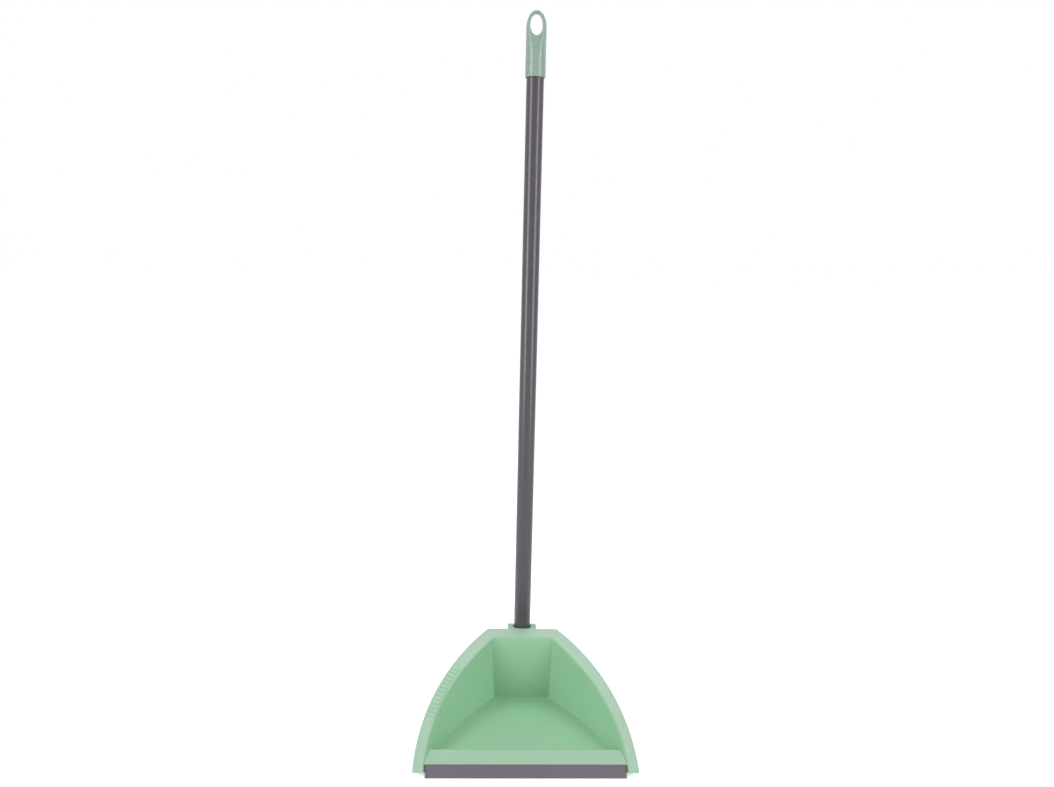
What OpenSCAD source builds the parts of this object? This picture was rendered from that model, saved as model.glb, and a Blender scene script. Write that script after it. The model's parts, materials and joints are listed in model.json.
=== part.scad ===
// Long-handled dustpan: a moulded pan with a flanged rim, a soft lip along its front edge,
// and a coated steel tube handle that pushes into a socket column behind the back wall.
// Millimetres, +Z up, the lip towards -Y. Depths are counted from the lip's front edge.

/* [Pan] */
// Width across the front ends of the rim
pan_width = 250; // [220:1:290]
// Depth from the lip's edge to the back edge of the rim
pan_depth = 196; // [175:1:225]
// Length of the rim's straight back edge
rim_back_width = 89; // [85:1:104]
// Width of the mouth along the top of the back wall
mouth_back_width = 75; // [68:1:80]
// Height of the rim's top at its back edge
rim_back_height = 89.2; // [80:0.1:105]
// Height of the rim's top at its front ends
rim_front_height = 6; // [5.6:0.1:7]
// Distance from the lip's edge back to the rim's front ends
rim_setback = 4; // [3:0.1:6]
// Thickness of the floor
floor_thickness = 2.4; // [1.6:0.1:3]
// Thickness of the side walls and the back wall
wall = 2.2; // [1.6:0.1:3]
// Radius of the side walls' curve
side_radius = 306; // [280:1:380]
// Outward lean of the side walls in degrees
side_lean = 23.5; // [20:0.5:26]
// Forward rake of the side walls in degrees
side_rake = 22; // [18:0.5:24]
// Draft of the back wall in degrees
back_draft = 1.4; // [0.5:0.1:4]

/* [Rim] */
// Width of the flange at its front ends
flange_width = 11.4; // [10:0.1:14]
// Width of the flange along the back
flange_back_width = 14.5; // [12:0.1:17]
// Thickness of the flange
flange_thickness = 1.6; // [1.2:0.1:2.4]
// Height of the turned-down outer edge at the back, from where it runs out to the front ends
edge_drop = 4.2; // [3:0.1:6]
// Thickness of the turned-down outer edge
edge_thickness = 1.6; // [1:0.1:2.4]

/* [Bristle comb] */
// Number of bars on the left flange that strip a broom's bristles
comb_bars = 16; // [8:1:18]
// Distance between bars along the rim
comb_pitch = 4.6; // [4:0.1:5]
// Width of one bar
comb_bar_width = 2.2; // [1.4:0.1:2.8]
// Length of one bar across the flange
comb_bar_length = 8.6; // [6:0.1:9]
// Height of the bars above the flange
comb_bar_height = 1.2; // [0.6:0.1:2]
// Distance from the rim's outer edge to the bars
comb_edge_gap = 1.2; // [0.6:0.1:2]
// Distance along the rim from its front end to the first bar
comb_start = 70; // [60:1:80]

/* [Ramp] */
// Depth of the ramp's ridge
ridge_depth = 36.5; // [32:0.5:42]
// Height of the ramp's ridge
ridge_height = 13.8; // [12.5:0.1:15]
// Run of the step from the ridge down to the floor
step_run = 2; // [1:0.1:4]
// Thickness of the ramp's plate
ramp_thickness = 2.3; // [1.8:0.1:2.8]
// Length of the tongue that holds the lip
tongue_length = 5.3; // [4:0.1:6]
// Thickness of the tongue
tongue_thickness = 1.1; // [0.8:0.1:1.3]

/* [Lip] */
// Gap between each end of the lip and the side wall beside it
lip_end_gap = 0.4; // [0.2:0.1:3]
// Depth of the lip's top edge
lip_run = 12.8; // [11.5:0.1:14]
// Height of the lip's top edge
lip_height = 9.3; // [8.4:0.1:9.5]
// Thickness of the lip at its top edge
lip_root = 4; // [3.8:0.1:4.4]
// Length of the flat under the lip's front edge
lip_foot = 3; // [2.6:0.1:4]
// Depth of the tongue's slot below the lip's face
slot_cover = 1; // [0.8:0.1:1.1]
// Radius of the corners at the ends of the lip's top edge
lip_corner = 1.8; // [0.5:0.1:3]

/* [Socket column] */
// Width of the column
column_width = 37; // [34:0.5:42]
// Height of the column's back edge, to which its top slopes down from the rim
column_height = 84.8; // [79:0.1:86]
// Thickness of the column's walls
column_wall = 2.4; // [1.8:0.1:2.6]
// Radius of the column's back corners
column_corner = 2; // [1:0.1:4]
// Depth of the socket below the column's top
socket_depth = 58; // [45:1:65]
// Diameter of the socket's wide mouth
mouth_diameter = 23.6; // [22:0.1:24]
// Depth of the wide mouth
mouth_depth = 5; // [2:0.5:10]

/* [Handle] */
// Height of the whole dustpan
overall_height = 851; // [600:1:1000]
// Diameter of the coated tube
tube_diameter = 21; // [20:0.1:21.4]
// Thickness of the plastic coat
coat = 0.5; // [0.3:0.1:0.8]
// Wall of the steel tube
steel_wall = 0.5; // [0.4:0.1:1]
// Gap between the rim's back edge and the tube
tube_gap = 2.2; // [2:0.1:5]

/* [End plug] */
// Length of the plug's tapered nose
nose_length = 4; // [2:0.5:6]
// Diameter of the nose's flat end
nose_diameter = 15; // [12:0.5:16]
// Thickness of the plug's head below the tube
head_thickness = 2; // [1:0.1:4]
// Length of the shank inside the tube
shank_length = 26; // [15:1:35]
// Wall of the hollow shank
shank_wall = 2; // [1.5:0.1:3]

/* [Hanger cap] */
// Length of the cap
cap_length = 76.5; // [72:0.5:90]
// Diameter of the cap below its loop
cap_diameter = 24.2; // [23.4:0.1:24.6]
// Diameter of the cap's flared mouth
flare_diameter = 25.4; // [24.7:0.1:26.5]
// Height of the flare
flare_height = 21; // [10:0.5:30]
// Bevel round the mouth's edge
mouth_bevel = 0.5; // [0.2:0.1:1]
// Depth of the bore that takes the tube
cap_bore_depth = 40; // [30:1:42]
// Width of the hanging hole
hole_width = 15.2; // [12:0.1:16]
// Height of the hanging hole
hole_height = 26; // [20:0.1:27]
// Material above the hanging hole
loop_top = 3.7; // [2.6:0.1:5]
// Height of the cap's rounded end
crown_height = 22; // [18:0.5:24]
// Thickness of the loop at its top
loop_thickness = 8.6; // [7:0.1:12]
// Length over which the cap flattens into the loop
loop_length = 42; // [36:0.5:46]

/* [Hidden] */
// Running clearance between the tube and its socket
socket_clearance = 0.08;
// Gap between pieces that are pressed or bonded together
bond_gap = 0.02;
// Gap round the tongue in the lip's slot
slot_gap = 0.1;
// Corner radius inside the column's hollow
hollow_corner = 1;
// Step from the rim's top down to the column's sloping top
column_step = 0.3;
// Distance that cuts run past the faces they open
overrun = 2;
// Steps in a formula curve
curve_steps = 48;
$fn = 96;

pan_green = "#a9d6b6";
cap_green = "#a3cdb0";
lip_grey = "#766f78";
coat_grey = "#5f5a62";
steel = "#b9bdc1";
plug_grey = "#4c4a4e";

// Places along the depth and up the height
tube_place = pan_depth + tube_gap + tube_diameter / 2;
column_back = tube_place + mouth_diameter / 2 + column_wall;
overall_depth = column_back;
socket_floor = column_height - socket_depth;
tube_bottom = socket_floor + nose_length + head_thickness;
cap_bottom = overall_height - cap_length;
tube_top = cap_bottom + cap_bore_depth;
steel_diameter = tube_diameter - 2 * coat;
steel_bore = steel_diameter - 2 * steel_wall;

// The rim is one sloping plane from its front ends to its back edge
rim_slope = (rim_back_height - rim_front_height) / (pan_depth - rim_setback);
function rim_top(depth) = rim_front_height + rim_slope * (depth - rim_setback);
rim_taper = (pan_width - rim_back_width) / 2;
rim_run = pan_depth - rim_setback;
rim_radius = (rim_taper * rim_taper + rim_run * rim_run) / (2 * rim_taper);
rim_centre = pan_width / 2 - rim_radius;

// The back wall leans back with its draft, up to the mouth's back edge
mouth_back = pan_depth - flange_back_width;
function back_face(height) = mouth_back - (rim_top(mouth_back) - height) * tan(back_draft);
ceiling = rim_back_height + overrun;

// Each side wall is a leaning cylinder through the mouth's front and back corners
lean_across = [cos(side_lean), 0, -sin(side_lean)];
lean_along = [sin(side_rake) * sin(side_lean), cos(side_rake), sin(side_rake) * cos(side_lean)];
front_corner = [pan_width / 2 - flange_width, rim_setback, rim_front_height];
back_corner = [mouth_back_width / 2, mouth_back, rim_top(mouth_back)];
function leaned(point) = [point * lean_across, point * lean_along];
chord = leaned(back_corner) - leaned(front_corner);
chord_middle = (leaned(back_corner) + leaned(front_corner)) / 2;
chord_rise = sqrt(side_radius * side_radius - chord * chord / 4);
side_centre = chord_middle + [-chord.y, chord.x] / norm(chord) * chord_rise;
side_reach = pan_width + pan_depth;

// Half the width between the side walls' inner faces at a depth and a height
lean_step = [lean_across.x, lean_along.x];
function side_offset(depth, height) = leaned([0, depth, height]) - side_centre;
function side_face(depth, height) =
    let (offset = side_offset(depth, height), part = lean_step * offset, square = lean_step * lean_step)
    (sqrt(part * part - square * (offset * offset - side_radius * side_radius)) - part) / square;

// The ramp and the lip share the slope of the lip's face
lip_slope = atan2(lip_height, lip_run);
lip_face = norm([lip_run, lip_height]);
function on_lip(along, below) = [
    along * cos(lip_slope) + below * sin(lip_slope),
    along * sin(lip_slope) - below * cos(lip_slope)
];
lip_back = on_lip(lip_face, lip_root);
lip_length = 2 * (side_face(lip_back.x, lip_back.y) - lip_end_gap);
step_foot = ridge_depth + step_run;
tongue_cover = slot_cover + slot_gap;
slot_thickness = tongue_thickness + 2 * slot_gap;
slot_length = tongue_length + slot_gap;

// The hanging hole and the cap's flattened end, counted up from the cap's mouth
hole_centre = cap_length - loop_top - hole_height / 2;
loop_start = cap_length - loop_length;

function oval(width, height) = [
    for (i = [0 : curve_steps - 1])
        [width / 2 * cos(360 * i / curve_steps), height / 2 * sin(360 * i / curve_steps)]
];

// Puts the middle of the overall depth at the origin
module placed() {
    translate([0, -overall_depth / 2, 0]) children();
}

// Sweeps a profile of depth and height across the pan
module across(width) {
    rotate([90, 0, 90]) linear_extrude(width, center = true) children();
}

// Rounded rectangle centred across the pan, from one depth to another
module rounded_plan(width, front, back, corner) {
    translate([-width / 2 + corner, front]) square([width - 2 * corner, back - front]);
    translate([-width / 2, front + corner]) square([width, back - front - 2 * corner]);
    for (side = [-1, 1])
        for (depth = [front + corner, back - corner])
            translate([side * (width / 2 - corner), depth]) circle(corner);
}

// Room between the two leaning side walls, grown by a wall's thickness
module between_sides(grown) {
    intersection_for (side = [0, 1])
        mirror([side, 0, 0])
            rotate([side_rake, side_lean, 0])
                translate([side_centre.x, side_centre.y, -side_reach])
                    cylinder(r = side_radius + grown, h = 2 * side_reach);
}

// Room inside the rim's outer edge, drawn in by the given inset
module inside_rim(inset) {
    intersection_for (side = [-1, 1])
        translate([side * rim_centre, rim_setback, -overrun])
            cylinder(r = rim_radius - inset, h = ceiling + 2 * overrun);
}

// Layer that follows the sloping rim, between two heights above its top
module rim_layer(low, high, front, back) {
    across(pan_width)
        polygon([
            [front, rim_top(front) + low], [back, rim_top(back) + low],
            [back, rim_top(back) + high], [front, rim_top(front) + high]
        ]);
}

module tub() {
    back_top = mouth_back + wall;
    top_drop = flange_thickness / 2;
    intersection() {
        across(pan_width)
            polygon([
                [rim_setback, rim_front_height - flange_thickness], [lip_run, 0],
                [back_face(0) + wall, 0],
                [back_top, rim_top(back_top) - top_drop],
                [rim_setback, rim_front_height - top_drop]
            ]);
        between_sides(wall);
    }
}

module hollow() {
    floor_front = step_foot - ramp_thickness / 2;
    intersection() {
        across(pan_width)
            polygon([
                [-overrun, -overrun], [floor_front, -overrun],
                [floor_front, floor_thickness], [back_face(floor_thickness), floor_thickness],
                [back_face(ceiling), ceiling], [-overrun, ceiling]
            ]);
        between_sides(0);
    }
}

module rim() {
    intersection() {
        rim_layer(-flange_thickness, 0, rim_setback, pan_depth);
        inside_rim(0);
    }
    difference() {
        intersection() {
            across(pan_width)
                polygon([
                    [rim_setback, rim_front_height - flange_thickness],
                    [pan_depth, rim_back_height - edge_drop],
                    [pan_depth, rim_back_height - flange_thickness / 2],
                    [rim_setback, rim_front_height - flange_thickness / 2]
                ]);
            inside_rim(0);
        }
        intersection() {
            rim_layer(-edge_drop - overrun, 0, -overrun, pan_depth - edge_thickness);
            inside_rim(edge_thickness);
        }
    }
}

// Bars that stand across the left flange, square to its edge
module comb() {
    first = comb_start / rim_radius * 180 / PI;
    turn = comb_pitch / rim_radius * 180 / PI;
    intersection() {
        rim_layer(-flange_thickness / 2, comb_bar_height, rim_setback, pan_depth);
        for (i = [0 : comb_bars - 1])
            translate([-rim_centre, rim_setback, 0])
                rotate(180 - first - i * turn)
                    translate([rim_radius - comb_edge_gap - comb_bar_length, -comb_bar_width / 2, 0])
                        cube([comb_bar_length, comb_bar_width, ceiling]);
    }
}

// Folded plate from the lip up to the ridge and down to the floor, with the lip's tongue
module ramp() {
    intersection() {
        across(pan_width)
            polygon([
                on_lip(lip_face, 0), [ridge_depth, ridge_height],
                [step_foot, floor_thickness], [step_foot, 0], [step_foot - ramp_thickness, 0],
                [ridge_depth - ramp_thickness, ridge_height - ramp_thickness],
                on_lip(lip_face, ramp_thickness)
            ]);
        between_sides(wall / 2);
    }
    across(lip_length - 2 * lip_root)
        polygon([
            on_lip(lip_face - tongue_length, tongue_cover),
            on_lip(lip_face + tongue_thickness, tongue_cover),
            on_lip(lip_face + tongue_thickness, tongue_cover + tongue_thickness),
            on_lip(lip_face - tongue_length, tongue_cover + tongue_thickness)
        ]);
}

// Column behind the back wall, up to the flange in front and to its own top behind
module column() {
    flange_middle = flange_thickness / 2;
    intersection() {
        linear_extrude(ceiling)
            rounded_plan(column_width, back_face(0) - column_corner, column_back, column_corner);
        across(pan_width)
            polygon([
                [back_face(0) + wall / 2, 0], [column_back, 0], [column_back, column_height],
                [pan_depth, rim_back_height - column_step],
                [pan_depth - edge_thickness / 2, rim_back_height - flange_middle],
                [mouth_back + wall / 2, rim_top(mouth_back) - flange_middle]
            ]);
    }
}

// Hollow of the column, open below, round the socket's own tube
module column_hollow() {
    roof = column_height - column_wall;
    difference() {
        intersection() {
            translate([0, 0, -overrun])
                linear_extrude(roof + overrun)
                    rounded_plan(column_width - 2 * column_wall, back_face(0),
                        column_back - column_wall, hollow_corner);
            across(pan_width)
                polygon([
                    [back_face(-overrun) + wall, -overrun], [column_back, -overrun],
                    [column_back, roof], [back_face(roof) + wall, roof]
                ]);
        }
        translate([0, tube_place, socket_floor - column_wall])
            cylinder(d = tube_diameter + 2 * column_wall, h = socket_depth + column_wall);
    }
}

module socket_bore() {
    bore = tube_diameter + 2 * socket_clearance;
    mouth_bottom = column_height - mouth_depth;
    funnel = (mouth_diameter - bore) / 2;
    translate([0, tube_place, 0]) {
        translate([0, 0, socket_floor]) cylinder(d = bore, h = socket_depth);
        translate([0, 0, mouth_bottom - funnel]) cylinder(d1 = bore, d2 = mouth_diameter, h = funnel);
        translate([0, 0, mouth_bottom]) cylinder(d = mouth_diameter, h = ceiling - mouth_bottom);
    }
}

module pan_body() {
    color(pan_green)
        placed() {
            difference() {
                union() {
                    tub();
                    rim();
                    column();
                }
                hollow();
                column_hollow();
                socket_bore();
            }
            ramp();
            comb();
        }
}

module lip_strip() {
    color(lip_grey)
        placed()
            difference() {
                intersection() {
                    across(lip_length)
                        polygon([[0, 0], [lip_run, lip_height], lip_back, [lip_foot, 0]]);
                    rotate([lip_slope, 0, 0])
                        translate([0, 0, -lip_root - overrun])
                            linear_extrude(lip_root + 2 * overrun)
                                rounded_plan(lip_length, -lip_root, lip_face, lip_corner);
                }
                across(lip_length - 2 * lip_root + 2 * slot_gap)
                    polygon([
                        on_lip(lip_face - slot_length, slot_cover),
                        on_lip(lip_face + overrun, slot_cover),
                        on_lip(lip_face + overrun, slot_cover + slot_thickness),
                        on_lip(lip_face - slot_length, slot_cover + slot_thickness)
                    ]);
            }
}

// Straight pipe on the handle's axis, from the tube's lower end to its upper end
module pipe(outside, inside) {
    placed()
        translate([0, tube_place, tube_bottom])
            difference() {
                cylinder(d = outside, h = tube_top - tube_bottom);
                translate([0, 0, -overrun])
                    cylinder(d = inside, h = tube_top - tube_bottom + 2 * overrun);
            }
}

module handle_tube() {
    color(steel) pipe(steel_diameter, steel_bore);
}

module tube_sleeve() {
    color(coat_grey) pipe(tube_diameter, steel_diameter + 2 * bond_gap);
}

// Moulded plug with a tapered nose, a head that covers the tube's edge and a hollow shank
module tube_plug() {
    shank = steel_bore / 2 - bond_gap;
    head = tube_diameter / 2;
    head_top = nose_length + head_thickness;
    shank_top = head_top + shank_length;
    color(plug_grey)
        placed()
            translate([0, tube_place, socket_floor])
                rotate_extrude()
                    polygon([
                        [0, 0], [nose_diameter / 2, 0], [head, nose_length], [head, head_top],
                        [shank, head_top], [shank, shank_top], [shank - shank_wall, shank_top],
                        [shank - shank_wall, head_top], [0, head_top]
                    ]);
}

// Sleeve with a flared mouth, flattened above into an oval loop
module hanger_cap() {
    outline_base = cap_length - crown_height;
    color(cap_green)
        placed()
            translate([0, tube_place, cap_bottom])
                difference() {
                    intersection() {
                        rotate_extrude()
                            polygon([
                                [0, 0], [flare_diameter / 2 - mouth_bevel, 0],
                                [flare_diameter / 2, mouth_bevel], [cap_diameter / 2, flare_height],
                                [cap_diameter / 2, cap_length], [0, cap_length]
                            ]);
                        rotate([90, 0, 0])
                            linear_extrude(flare_diameter, center = true) {
                                translate([-flare_diameter / 2, 0]) square([flare_diameter, outline_base]);
                                translate([0, outline_base])
                                    polygon(oval(cap_diameter, 2 * crown_height));
                            }
                        across(flare_diameter)
                            polygon([
                                [-flare_diameter / 2, 0], [flare_diameter / 2, 0],
                                [flare_diameter / 2, loop_start], [cap_diameter / 2, loop_start],
                                [loop_thickness / 2, cap_length], [-loop_thickness / 2, cap_length],
                                [-cap_diameter / 2, loop_start], [-flare_diameter / 2, loop_start]
                            ]);
                    }
                    translate([0, 0, -overrun])
                        cylinder(d = tube_diameter + 2 * bond_gap, h = cap_bore_depth + overrun);
                    translate([0, 0, hole_centre])
                        rotate([90, 0, 0])
                            linear_extrude(flare_diameter + 2 * overrun, center = true)
                                polygon(oval(hole_width, hole_height));
                }
}

pan_body();
lip_strip();
handle_tube();
tube_sleeve();
tube_plug();
hanger_cap();
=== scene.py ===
"""A long-handled dustpan: a moulded pan with a soft lip, and a coated tube handle with a hanging cap.

Lengths are millimetres until a mesh is made. A depth is counted back from the lip's front edge.
"""
import json
import math

import bmesh
import bpy
import numpy as np
from mathutils import Matrix, Vector


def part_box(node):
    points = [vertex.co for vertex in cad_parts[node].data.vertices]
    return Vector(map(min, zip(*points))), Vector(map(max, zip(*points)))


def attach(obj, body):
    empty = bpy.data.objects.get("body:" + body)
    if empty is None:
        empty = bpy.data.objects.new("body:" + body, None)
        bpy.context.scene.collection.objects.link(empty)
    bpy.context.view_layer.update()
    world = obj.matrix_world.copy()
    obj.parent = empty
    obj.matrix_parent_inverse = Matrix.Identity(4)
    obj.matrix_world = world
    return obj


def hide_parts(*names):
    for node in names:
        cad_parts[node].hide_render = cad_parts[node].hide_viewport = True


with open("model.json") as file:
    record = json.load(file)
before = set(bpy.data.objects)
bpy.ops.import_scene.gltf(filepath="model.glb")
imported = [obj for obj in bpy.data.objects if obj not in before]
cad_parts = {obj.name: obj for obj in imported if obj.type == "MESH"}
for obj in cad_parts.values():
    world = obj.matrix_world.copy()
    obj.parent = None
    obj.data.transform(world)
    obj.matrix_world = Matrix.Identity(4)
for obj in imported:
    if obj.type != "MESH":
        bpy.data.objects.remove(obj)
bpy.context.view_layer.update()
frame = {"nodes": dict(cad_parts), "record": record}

MM = 0.001


def node_box(node):
    """Lowest and highest corner of a part, in millimetres."""
    return [np.array(corner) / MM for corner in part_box(node)]


pan_low, pan_high = node_box("pan_body")
lip_low, lip_high = node_box("lip_strip")
tube_low, tube_high = node_box("tube_sleeve")
plug_low, plug_high = node_box("tube_plug")
cap_low, cap_high = node_box("hanger_cap")
hang_hole = next(mount for mount in frame["record"]["mounts"] if mount["name"] == "hang_hole")

# Pan
LIP_EDGE = lip_low[1]
PAN_WIDTH = pan_high[0] - pan_low[0]
PAN_DEPTH = 196
RIM_SETBACK = pan_low[1] - LIP_EDGE
RIM_BACK_WIDTH = 89
RIM_BACK_HEIGHT = pan_high[2]
RIM_FRONT_HEIGHT = 6
MOUTH_BACK_WIDTH = 75
FLANGE_WIDTH = 11.4
FLANGE_BACK_WIDTH = 14.5
FLANGE = 1.6
EDGE = 1.6
EDGE_DROP = 4.2
FLOOR = 2.4
WALL = 2.2
SIDE_RADIUS = 306
SIDE_LEAN = math.radians(23.5)
SIDE_RAKE = math.radians(22)
BACK_DRAFT = math.radians(1.4)

# Roundings of the moulding, and the share of the rim over which the mouth's rounding tightens
EDGE_ROUND = 0.8
MOUTH_ROUND = 5
MOUTH_BACK_ROUND = 2
MOUTH_EASE = 0.2
FOOT_ROUND = 1
CORNER_ROUND = 0.6
UNDER_ROUND = 1.2
THIN_ROUND = 0.3
RIDGE_ROUND = 1.2

# How finely the meshes are made
SIDE_STATIONS = 44
BACK_STATIONS = 7
WALL_STEPS = 6
RAMP_STEPS = 12
TURN_STEPS = 96
FLOOR_RING = 9
ARC_STEPS = 5
COLUMN_ARC_STEPS = 8
LIP_ARC_STEPS = 6
SMALL_ARC_STEPS = 3
ARC_PROFILE = 0.5
ARC_ROOM = 0.46
CAP_CELL = 0.5
CAP_MARGIN = 2 * CAP_CELL
CAP_PASSES = 4
LEAST_STEEPNESS = 0.1
WELD = 0.002
AXIS_GAP = 2 * WELD

# Bends that show as a sharp edge, and those of the lip that are rounded
SHARP = math.radians(35)
MOULDING_SHARP = math.radians(32)
CAP_SHARP = math.radians(60)
LIP_FOLD = math.radians(30)

# Ramp and lip
RIDGE_DEPTH = 36.5
RIDGE_HEIGHT = 13.8
STEP_RUN = 2
RAMP = 2.3
LIP_RUN = 12.8
LIP_HEIGHT = lip_high[2]
LIP_FOOT = 3
LIP_ROOT = 4
LIP_CORNER = 1.8
LIP_ROUND = 0.5
RAMP_SLOPE = (RIDGE_HEIGHT - LIP_HEIGHT) / (RIDGE_DEPTH - LIP_RUN)

# Bristle comb
COMB_BARS = 13
COMB_PITCH = 5.9
COMB_START = 70
COMB_EDGE_GAP = 1.9
BAR_LENGTH = 9.3
BAR_WIDTH = 2.8
BAR_HEIGHT = 1.2
BAR_ROOT = 1.4
BAR_ROUND = 0.45

# Socket column
COLUMN_WIDTH = 37
COLUMN_BACK = pan_high[1] - LIP_EDGE
COLUMN_HEIGHT = 84.8
COLUMN_STEP = 0.3
COLUMN_WALL = 2.4
COLUMN_CORNER = 2
COLUMN_ROUND = 0.7
COLUMN_SKIN = 0.3
SOCKET_DIAMETER = 21.16
SOCKET_MOUTH = 23.6
SOCKET_MOUTH_DEPTH = 5
SOCKET_FLOOR = plug_low[2]

# Handle
TUBE_PLACE = hang_hole["pos_m"][1] / MM - LIP_EDGE
TUBE_DIAMETER = 21
STEEL_DIAMETER = 20
STEEL_BORE = 19
BOND_GAP = 0.02
TUBE_ROUND = 0.2
PLUG_NOSE = 4
PLUG_NOSE_DIAMETER = 15
PLUG_HEAD = 2
PLUG_WALL = 2
PLUG_ROUND = 0.4

# Hanger cap
CAP_LENGTH = cap_high[2] - cap_low[2]
CAP_DIAMETER = 24.2
FLARE_DIAMETER = 25.4
FLARE_HEIGHT = 21
CAP_BORE_DEPTH = 40
CAP_MOUTH_ROUND = 1
HOLE_WIDTH = 15.2
HOLE_HEIGHT = 26
HOLE_PLACE = hang_hole["pos_m"][2] / MM - cap_low[2]
CROWN_HEIGHT = 22
LOOP_THICKNESS = 8.6
LOOP_LENGTH = 42
LOOP_ROUND = 2.5
HOLE_ROUND = 1.5


# Small tools for shapes

def blend(first, second, share):
    """Value that lies the given share of the way from the first to the second."""
    return first + (second - first) * share


def placed(points):
    """Points of breadth, depth and height, moved into the frame."""
    return np.asarray(points, float) + [0, LIP_EDGE, 0]


def rounded(corners, radii, steps=ARC_STEPS):
    """Lines of points with their corners turned into arcs. The first axis runs along the lines."""
    made = [corners[0]]
    for before, corner, after, radius in zip(corners, corners[1:], corners[2:], radii[1:]):
        if not np.any(radius):
            made.append(corner)
            continue
        back, ahead = before - corner, after - corner
        back_length = np.linalg.norm(back, axis=-1, keepdims=True) + WELD * MM
        ahead_length = np.linalg.norm(ahead, axis=-1, keepdims=True) + WELD * MM
        back, ahead = back / back_length, ahead / ahead_length
        bend = np.arccos(np.clip((back * ahead).sum(-1, keepdims=True), -1, 1)) / 2
        room = np.minimum(back_length, ahead_length) * ARC_ROOM
        trim = np.minimum(radius / np.maximum(np.tan(bend), WELD), room)
        for share in np.linspace(0, 1, steps + 1):
            made.append(corner + trim * ((1 - share) ** 2 * back + share ** 2 * ahead))
    made.append(corners[-1])
    return np.array(made)


def rounded_loop(corners, radii, steps=ARC_STEPS):
    """Closed line with its corners turned into arcs."""
    corners = [np.asarray(corner, float) for corner in corners]
    line = rounded(np.array([corners[-1], *corners, corners[0]]), [0, *radii, 0], steps)
    return line[1:-1]


def strip(first, second):
    """Four-sided faces between two rows of points."""
    return [list(face) for face in zip(first, first[1:], second[1:], second)]


def ring_strip(first, second):
    """Four-sided faces between two closed rings of points."""
    return strip([*first, first[0]], [*second, second[0]])


def round_edges(shape, edges, radius, steps=SMALL_ARC_STEPS):
    """Turns some edges of a shape into arcs."""
    bmesh.ops.bevel(
        shape, geom=edges, offset=radius, segments=steps, profile=ARC_PROFILE, affect="EDGES",
        clamp_overlap=True,
    )


def to_mesh(name, points, faces, sharp=SHARP):
    """Closed mesh in metres from points in millimetres, with open ends filled."""
    shape = bmesh.new()
    corners = [shape.verts.new(point) for point in np.asarray(points, float)]
    for face in faces:
        shape.faces.new([corners[i] for i in face])
    bmesh.ops.remove_doubles(shape, verts=shape.verts, dist=WELD)
    bmesh.ops.dissolve_degenerate(shape, edges=shape.edges, dist=WELD)
    bmesh.ops.holes_fill(shape, edges=[edge for edge in shape.edges if edge.is_boundary], sides=0)
    bmesh.ops.recalc_face_normals(shape, faces=shape.faces)
    return finished(name, shape, sharp)


def finished(name, shape, sharp=SHARP):
    """Object made from a shape in millimetres."""
    bmesh.ops.scale(shape, vec=(MM, MM, MM), verts=shape.verts)
    mesh = bpy.data.meshes.new(name)
    shape.to_mesh(mesh)
    shape.free()
    mesh.shade_smooth()
    mesh.set_sharp_from_angle(angle=sharp)
    piece = bpy.data.objects.new(name, mesh)
    bpy.context.scene.collection.objects.link(piece)
    return piece


def turned(name, profile):
    """Ring turned about the handle's axis from a closed profile of radius and height."""
    turns = np.linspace(0, 2 * math.pi, TURN_STEPS, endpoint=False)
    points = [
        [radius * math.sin(turn), TUBE_PLACE + radius * math.cos(turn), height]
        for turn in turns for radius, height in profile
    ]
    count = len(profile)
    rings = [list(range(i * count, (i + 1) * count)) for i in range(TURN_STEPS)]
    faces = []
    for first, second in zip(rings, rings[1:] + rings[:1]):
        faces += ring_strip(first, second)
    return to_mesh(name, placed(points), faces)


def joined(piece, *others):
    """Melts the other pieces into the first, as one moulding."""
    group = bpy.data.collections.new(piece.name + "_parts")
    for other in others:
        group.objects.link(other)
    union = piece.modifiers.new("moulding", "BOOLEAN")
    union.operation = "UNION"
    union.operand_type = "COLLECTION"
    union.collection = group
    union.solver = "EXACT"
    melted = piece.evaluated_get(bpy.context.evaluated_depsgraph_get())
    whole = bpy.data.meshes.new_from_object(melted)
    piece.modifiers.clear()
    piece.data = whole
    for other in others:
        bpy.data.objects.remove(other)
    bpy.data.collections.remove(group)
    whole.shade_smooth()
    whole.set_sharp_from_angle(angle=MOULDING_SHARP)
    return piece


# Surfaces of the pan

RIM_RUN = PAN_DEPTH - RIM_SETBACK
RIM_SLOPE = (RIM_BACK_HEIGHT - RIM_FRONT_HEIGHT) / RIM_RUN
RIM_TAPER = (PAN_WIDTH - RIM_BACK_WIDTH) / 2
RIM_RADIUS = (RIM_TAPER ** 2 + RIM_RUN ** 2) / (2 * RIM_TAPER)
RIM_CENTRE = PAN_WIDTH / 2 - RIM_RADIUS
RIM_TURN = math.asin(RIM_RUN / RIM_RADIUS)
MOUTH_BACK = PAN_DEPTH - FLANGE_BACK_WIDTH
LEAN_ACROSS = np.array([math.cos(SIDE_LEAN), 0, -math.sin(SIDE_LEAN)])
LEAN_ALONG = np.array([
    math.sin(SIDE_RAKE) * math.sin(SIDE_LEAN),
    math.cos(SIDE_RAKE),
    math.sin(SIDE_RAKE) * math.cos(SIDE_LEAN),
])


def rim_top(depth):
    """Height of the sloping rim's top."""
    return RIM_FRONT_HEIGHT + RIM_SLOPE * (depth - RIM_SETBACK)


def edge_foot(depth):
    """Height of the lower end of the rim's turned-down edge."""
    return rim_top(depth) - blend(FLANGE, EDGE_DROP, (depth - RIM_SETBACK) / RIM_RUN)


def on_rim(turn, inset):
    """Breadth and depth of a point on the rim's outer curve, drawn in by an inset."""
    reach = RIM_RADIUS - inset
    return np.array([RIM_CENTRE + reach * math.cos(turn), RIM_SETBACK + reach * math.sin(turn)])


def leaned(point):
    """Place of a point across the leaning side wall's cylinder."""
    return np.array([LEAN_ACROSS @ point, LEAN_ALONG @ point])


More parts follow.
